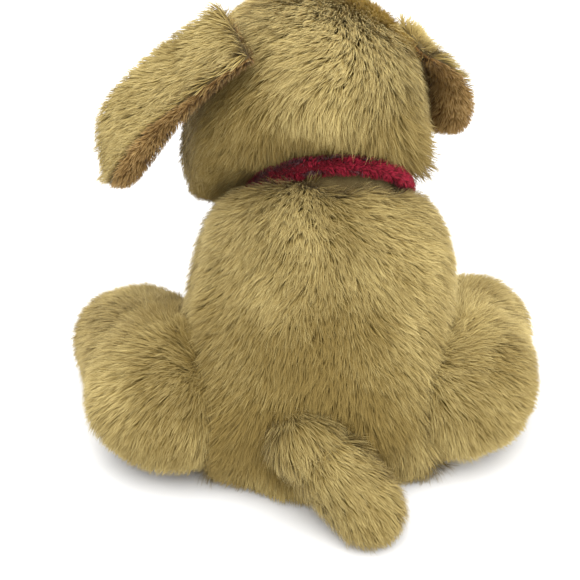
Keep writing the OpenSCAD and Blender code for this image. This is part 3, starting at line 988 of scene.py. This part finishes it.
def head_long(root, out):
    """Long on the skull, and short by the eyes and the nose."""
    size = 0.016 * (1 + 0.12 * ripple(root, 0.03, 126))
    for spot in eye_mid:
        size *= np.clip((np.linalg.norm(root - spot, axis=1) - 0.011) / 0.03, 0.14, 1)
    size *= np.clip((np.linalg.norm(root - nose_mid, axis=1) - 0.01) / 0.06, 0.16, 1)
    neck_off = root - neck_at
    nape = np.exp(-((neck_off @ neck_up - 0.012) / 0.016) ** 2) * (neck_off[:, 1] > 0)
    nape *= 1 + 1.2 * np.clip(-neck_off[:, 0] / 0.03, 0, 1)
    return size * (1 + 0.55 * nape) * covered(root, out, head_trees, 0.004)


head_faces = centres_of(head_skin.data)
muzzle_ball = reach_to(head_faces, frame["nodes"]["muzzle_cover"].data, 0.02) < 0.004
for order, (node, keep) in enumerate({
    "head_panel_left": ~muzzle_ball & (head_middle(head_faces) > 0),
    "head_panel_right": ~muzzle_ball & (head_middle(head_faces) <= 0),
    "muzzle_cover": muzzle_ball,
}.items()):
    panel = part_of(head_skin, node + "_skin", keep)
    finish_piece(panel, wheat_backing, "head", node)
    hair = pile(node + "_pile", panel, head_flow, head_tone_and_painted_light, 1.9, head_long, seed=300 + order)
    finish_pile(hair, wheat_pile, "head")
bpy.data.objects.remove(head_skin)


# ---- The eyes, the nose and the mouth ----
# Domed black plastic eyes and a moulded nose, each on a ribbed shank that a nylon washer locks inside.
# The mouth is one thick black thread, stitched in a short line and a smile.

eye_look = plastic_look("eye_plastic", (0.014, 0.009, 0.007), (0.006, 0.004, 0.003), 0.08, scale=60)
nose_look = plastic_look(
    "nose_plastic", (0.02, 0.014, 0.012), (0.007, 0.005, 0.004), 0.32,
    bump_size=0.0004, scale=900,
)
nylon_look = plastic_look("white_nylon", (0.82, 0.82, 0.8), (0.74, 0.74, 0.72), 0.45)
thread_look = cloth_look("black_thread", (0.03, 0.024, 0.02), (0.008, 0.006, 0.005), scale=1600)


def lathe(name, profile, at, way, steps=40):
    """A turned piece: profile is (radius, height) pairs about the line through at."""
    up = Vector(way).normalized()
    first = up.orthogonal().normalized()
    second = up.cross(first)
    bm = bmesh.new()
    rows = []
    for radius, height in profile:
        row = []
        for i in range(steps):
            a = 2 * math.pi * i / steps
            spoke = first * math.cos(a) + second * math.sin(a)
            row.append(bm.verts.new(Vector(at) + spoke * max(radius, 1e-5) + up * height))
        rows.append(row)
    for low, high in zip(rows, rows[1:]):
        for i in range(steps):
            k = (i + 1) % steps
            bm.faces.new((low[i], low[k], high[k], high[i]))
    bm.faces.new(list(reversed(rows[0])))
    bm.faces.new(rows[-1])
    return add_built(name, bm)


def eye_profile(r):
    """A shank, a thin flange and a dome that is a little flatter than a ball."""
    dome = [(r * math.cos(a), r * 0.86 * math.sin(a)) for a in np.radians(np.arange(-8, 89, 6))]
    return [(0.0021, -0.016), (0.0021, -0.004), (r * 0.86, -0.0034), (r * 0.99, -0.0022)] + dome


for word in ("left", "right"):
    washer = np.mean([np.array(v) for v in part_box("eye_washer_" + word)], axis=0)
    eye_co = points_of(frame["nodes"]["eye_" + word].data)
    out_way = unit(eye_co[np.argmax(np.linalg.norm(eye_co - washer, axis=1))] - washer)
    eye_r = 0.008
    dome_at = eye_co[np.argmax((eye_co - washer) @ out_way)] - out_way * eye_r
    eye = lathe("eye_dome_" + word, eye_profile(eye_r), dome_at + out_way * 0.001, out_way)
    finish_piece(eye, eye_look, "head", "eye_" + word)
    frame["nodes"]["eye_washer_" + word].data.materials.clear()
    frame["nodes"]["eye_washer_" + word].data.materials.append(nylon_look)


def nose_mesh(name, at, front, across, size):
    """A rounded three-cornered nose with two shallow nostrils and a groove below."""
    up = np.cross(across, front)
    up = up if up[2] > 0 else -up
    bm = bmesh.new()
    bmesh.ops.create_icosphere(bm, subdivisions=5, radius=1.0)
    for vert in bm.verts:
        x, y, z = vert.co
        x = x * (1.0 + 0.22 * z) * (1 - 0.12 * max(0, -z))
        for nostril in (-0.42, 0.42):
            pit = math.exp(-(((x - nostril) / 0.17) ** 2 + ((z + 0.12) / 0.13) ** 2)) * (y > 0)
            y -= 0.34 * pit
        y -= 0.16 * math.exp(-((x / 0.07) ** 2)) * (z < 0.05) * (y > 0)
        place = at + across * (x * size) + front * (y * size * 0.62) + up * (z * size * 0.74)
        vert.co = Vector(place)
    return add_built(name, bm)


nose_co = points_of(frame["nodes"]["nose"].data)
nose_washer_mid = np.mean([np.array(v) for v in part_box("nose_washer")], axis=0)
nose_tip = nose_co[np.argmax(np.linalg.norm(nose_co - nose_washer_mid, axis=1))]
nose_way = unit(nose_tip - nose_washer_mid)
nose_half = 0.0118
nose = nose_mesh("nose_button", nose_tip - nose_way * nose_half * 0.62, nose_way, head_side, nose_half)
finish_piece(nose, nose_look, "head", "nose")
for node, look in (("nose_washer", nylon_look), ("mouth_thread", thread_look)):
    frame["nodes"][node].data.materials.clear()
    frame["nodes"][node].data.materials.append(look)


# ---- The ears ----
# Each ear is two leaves sewn face to face and turned: long wheat pile outside, short tan pile inside.
# They flop: the left one hangs with its back edge rolled out, and the right one's edge turns out its lining.

def ear_axes(side_word):
    """The ear's root, the way it runs, its hinge line and the way that its long pile faces."""
    joint = next(j for j in frame["joints"] if j["name"] == f"ear_{side_word}_flap")
    at = np.array(joint["pos_m"])
    hinge = unit(np.array(joint["axis"]))
    outer = points_of(frame["nodes"][f"ear_{side_word}_outer"].data)
    run = outer.mean(axis=0) - at
    run = unit(run - (run @ hinge) * hinge)
    face = np.cross(run, hinge)
    length = ((outer - at) @ run).max()
    return at, run, hinge, face, length


def ear_width(t):
    """Half the ear's width from root to tip."""
    body = 0.024 + 0.0125 * np.clip(t / 0.7, 0, 1) ** 1.3
    tip = np.sqrt(np.clip(1 - np.clip((t - 0.72) / 0.28, 0, 1) ** 3, 0, 1))
    return body * tip + 0.0002


def ear_leaf(name, axes, offset, bend, roll, twist, shrink=1.0, steps=44, across=26):
    """One leaf of an ear. bend, roll and twist say how it curves along, across and about its length."""
    at, run, hinge, face, length = axes
    t = np.linspace(0, 1, steps)
    turn = np.radians(bend(t))
    ds = length / (steps - 1) * shrink
    run_at = np.concatenate([[0], np.cumsum(np.cos(turn[:-1]) * ds)])
    rise = np.concatenate([[0], np.cumsum(np.sin(turn[:-1]) * ds)])
    w = np.linspace(-1, 1, across)
    grid = np.empty((steps, across, 3))
    for i in range(steps):
        half = ear_width(t[i]) * shrink
        curl = np.radians(roll(w, t[i]))
        dw = 2 * half / (across - 1)
        mid = across // 2
        y = np.concatenate([[0], np.cumsum(np.cos((curl[1:] + curl[:-1]) / 2) * dw)])
        z = np.concatenate([[0], np.cumsum(np.sin((curl[1:] + curl[:-1]) / 2) * dw)])
        y -= y[mid]
        z -= z[mid]
        # the leaf's own thickness is laid along its normal
        y = y - np.sin(curl) * offset
        z = z + np.cos(curl) * offset
        phi = math.radians(twist(t[i]))
        y2 = y * math.cos(phi) - z * math.sin(phi)
        z2 = y * math.sin(phi) + z * math.cos(phi)
        spin = turn[i]
        along = run_at[i] - z2 * math.sin(spin)
        height = rise[i] + z2 * math.cos(spin)
        grid[i] = at + np.outer(along, run) + np.outer(y2, hinge) + np.outer(height, face)
    return grid


def leaf_skin(name, top, bottom):
    """A closed leaf between two grids of points."""
    steps, across = top.shape[:2]
    bm = bmesh.new()
    up = [[bm.verts.new(Vector(p)) for p in row] for row in top]
    low = [[bm.verts.new(Vector(p)) for p in row] for row in bottom]
    for i in range(steps - 1):
        for k in range(across - 1):
            bm.faces.new((up[i][k], up[i + 1][k], up[i + 1][k + 1], up[i][k + 1]))
            bm.faces.new((low[i][k], low[i][k + 1], low[i + 1][k + 1], low[i + 1][k]))
        for k in (0, across - 1):
            bm.faces.new((up[i][k], low[i][k], low[i + 1][k], up[i + 1][k]))
    for i in (0, steps - 1):
        for k in range(across - 1):
            bm.faces.new((up[i][k], up[i][k + 1], low[i][k + 1], low[i][k]))
    bmesh.ops.recalc_face_normals(bm, faces=bm.faces)
    return add_built(name, bm)


def make_ear(word, bend, roll, twist, size, seed):
    """Both leaves of one ear with their pile. size is how much of its cut length the curled ear keeps."""
    axes = ear_axes(word)
    at, run, hinge, face, length = axes
    body = "ear_" + word
    seam = ear_leaf("seam", axes, 0.0, bend, roll, twist, shrink=size)
    top = ear_leaf("top", axes, 0.0028, bend, roll, twist, shrink=size)
    low = ear_leaf("low", axes, -0.0018, bend, roll, twist, shrink=0.97 * size)
    outer = leaf_skin(body + "_outer_leaf", top, seam)
    lining = leaf_skin(body + "_lining_leaf", seam * 0.999 + low * 0.001, low)
    finish_piece(outer, wheat_backing, body, body + "_outer")
    finish_piece(lining, tan_backing, body, body + "_lining")
    tree = KDTree(top.shape[0] * top.shape[1])
    flat = seam.reshape(-1, 3)
    for i, p in enumerate(flat):
        tree.insert(p, i)
    tree.balance()
    tangent = unit(np.gradient(seam, axis=0)).reshape(-1, 3)
    spread = unit(np.gradient(seam, axis=1)).reshape(-1, 3)
    middle = np.cross(tangent, spread)
    share = np.tile(np.linspace(-1, 1, top.shape[1]), top.shape[0])

    def nearest(root):
        return np.array([tree.find(p)[1] for p in root])

    def flow(root, out):
        near = nearest(root)
        way = tangent[near] * 1.0 + spread[near] * (share[near] * 0.5)[:, None]
        return way + 0.18 * unruly(root, 0.03, 131)

    def outside(root, out):
        near = nearest(root)
        facing = (out * middle[near]).sum(axis=1)
        edge = np.abs(share[near])
        return np.where(facing > -0.35, 0.013 * (1 + 0.1 * ripple(root, 0.02, 134)) * (1 - 0.15 * edge), 0.0)

    def inside(root, out):
        near = nearest(root)
        facing = (out * middle[near]).sum(axis=1)
        return np.where(facing < 0.35, 0.0055, 0.0)

    def ear_tone(root, out):
        return 0.58 + 0.12 * ripple(root, 0.03, 135)

    hair = pile(body + "_outer_pile", outer, flow, ear_tone, 1.5, outside, seed=seed)
    finish_pile(hair, wheat_pile, body)
    fuzz = pile(
        body + "_lining_pile", lining, flow, tan_tone, 1.6, inside,
        lean=(20, 60), wide=0.00042, clump=0.003, seed=seed + 1,
    )
    finish_pile(fuzz, tan_pile, body)


def left_bend(t):
    return 10 - 26 * t


def left_roll(w, t):
    open_edge = np.clip((w - 0.3) / 0.7, 0, 1) ** 1.2
    return 125 * open_edge * min(1, 0.3 + t * 1.2) - 10 * np.clip(-w, 0, 1)


def left_twist(t):
    return 0.0


def right_bend(t):
    return 2 - 60 * t


def right_roll(w, t):
    open_edge = np.clip((-w - 0.1) / 0.9, 0, 1) ** 1.2
    return -120 * open_edge * min(1, 0.2 + t * 1.2)


def right_twist(t):
    return 16 * t


make_ear("left", left_bend, left_roll, left_twist, 1.0, 400)
make_ear("right", right_bend, right_roll, right_twist, 0.86, 410)


# ---- The studio ----
# A plain white sweep under soft light, with the camera behind the toy and above it.

def floor_sheet():
    mesh = bpy.data.meshes.new("floor")
    reach = 12.0
    corners = [(-reach, -reach, 0), (reach, -reach, 0), (reach, reach, 0), (-reach, reach, 0)]
    mesh.from_pydata(corners, [], [(0, 1, 2, 3)])
    obj = bpy.data.objects.new("floor", mesh)
    scene.collection.objects.link(obj)
    mat = bpy.data.materials.new("floor")
    mat.use_nodes = True
    shader = mat.node_tree.nodes["Principled BSDF"]
    shader.inputs["Base Color"].default_value = (0.9, 0.9, 0.9, 1)
    shader.inputs["Roughness"].default_value = 0.7
    mesh.materials.append(mat)


floor_sheet()
world = bpy.data.worlds.new("studio")
world.use_nodes = True
world.node_tree.nodes["Background"].inputs["Color"].default_value = (1.0, 1.0, 1.0, 1)
world.node_tree.nodes["Background"].inputs["Strength"].default_value = 1.0
scene.world = world


def soft_light(name, at, aim, size, power):
    light = bpy.data.lights.new(name, "AREA")
    light.shape = "SQUARE"
    light.size = size
    light.energy = power
    obj = bpy.data.objects.new(name, light)
    obj.location = at
    obj.rotation_euler = (Vector(aim) - Vector(at)).to_track_quat("-Z", "Y").to_euler()
    scene.collection.objects.link(obj)


toy_mid = (0, 0, 0.12)
soft_light("side_light", (-1.0, 0.5, 0.8), toy_mid, 0.7, 5)
soft_light("front_light", (0.6, -1.0, 0.7), toy_mid, 0.8, 4)
sun = bpy.data.lights.new("ceiling_light", "SUN")
sun.energy = 2.1
sun.angle = math.radians(50)
sun_obj = bpy.data.objects.new("ceiling_light", sun)
sun_obj.rotation_euler = (math.radians(-16), math.radians(5), 0)
scene.collection.objects.link(sun_obj)

cam_data = bpy.data.cameras.new("camera")
cam_data.lens = 55
cam = bpy.data.objects.new("camera", cam_data)
cam.location = (0.0413, 0.4904, 0.410)
cam_aim = Vector((0.0126, -0.0167, 0.0895))
cam.rotation_euler = (cam_aim - cam.location).to_track_quat("-Z", "Y").to_euler()
scene.collection.objects.link(cam)
scene.camera = cam
scene.view_settings.view_transform = "Standard"
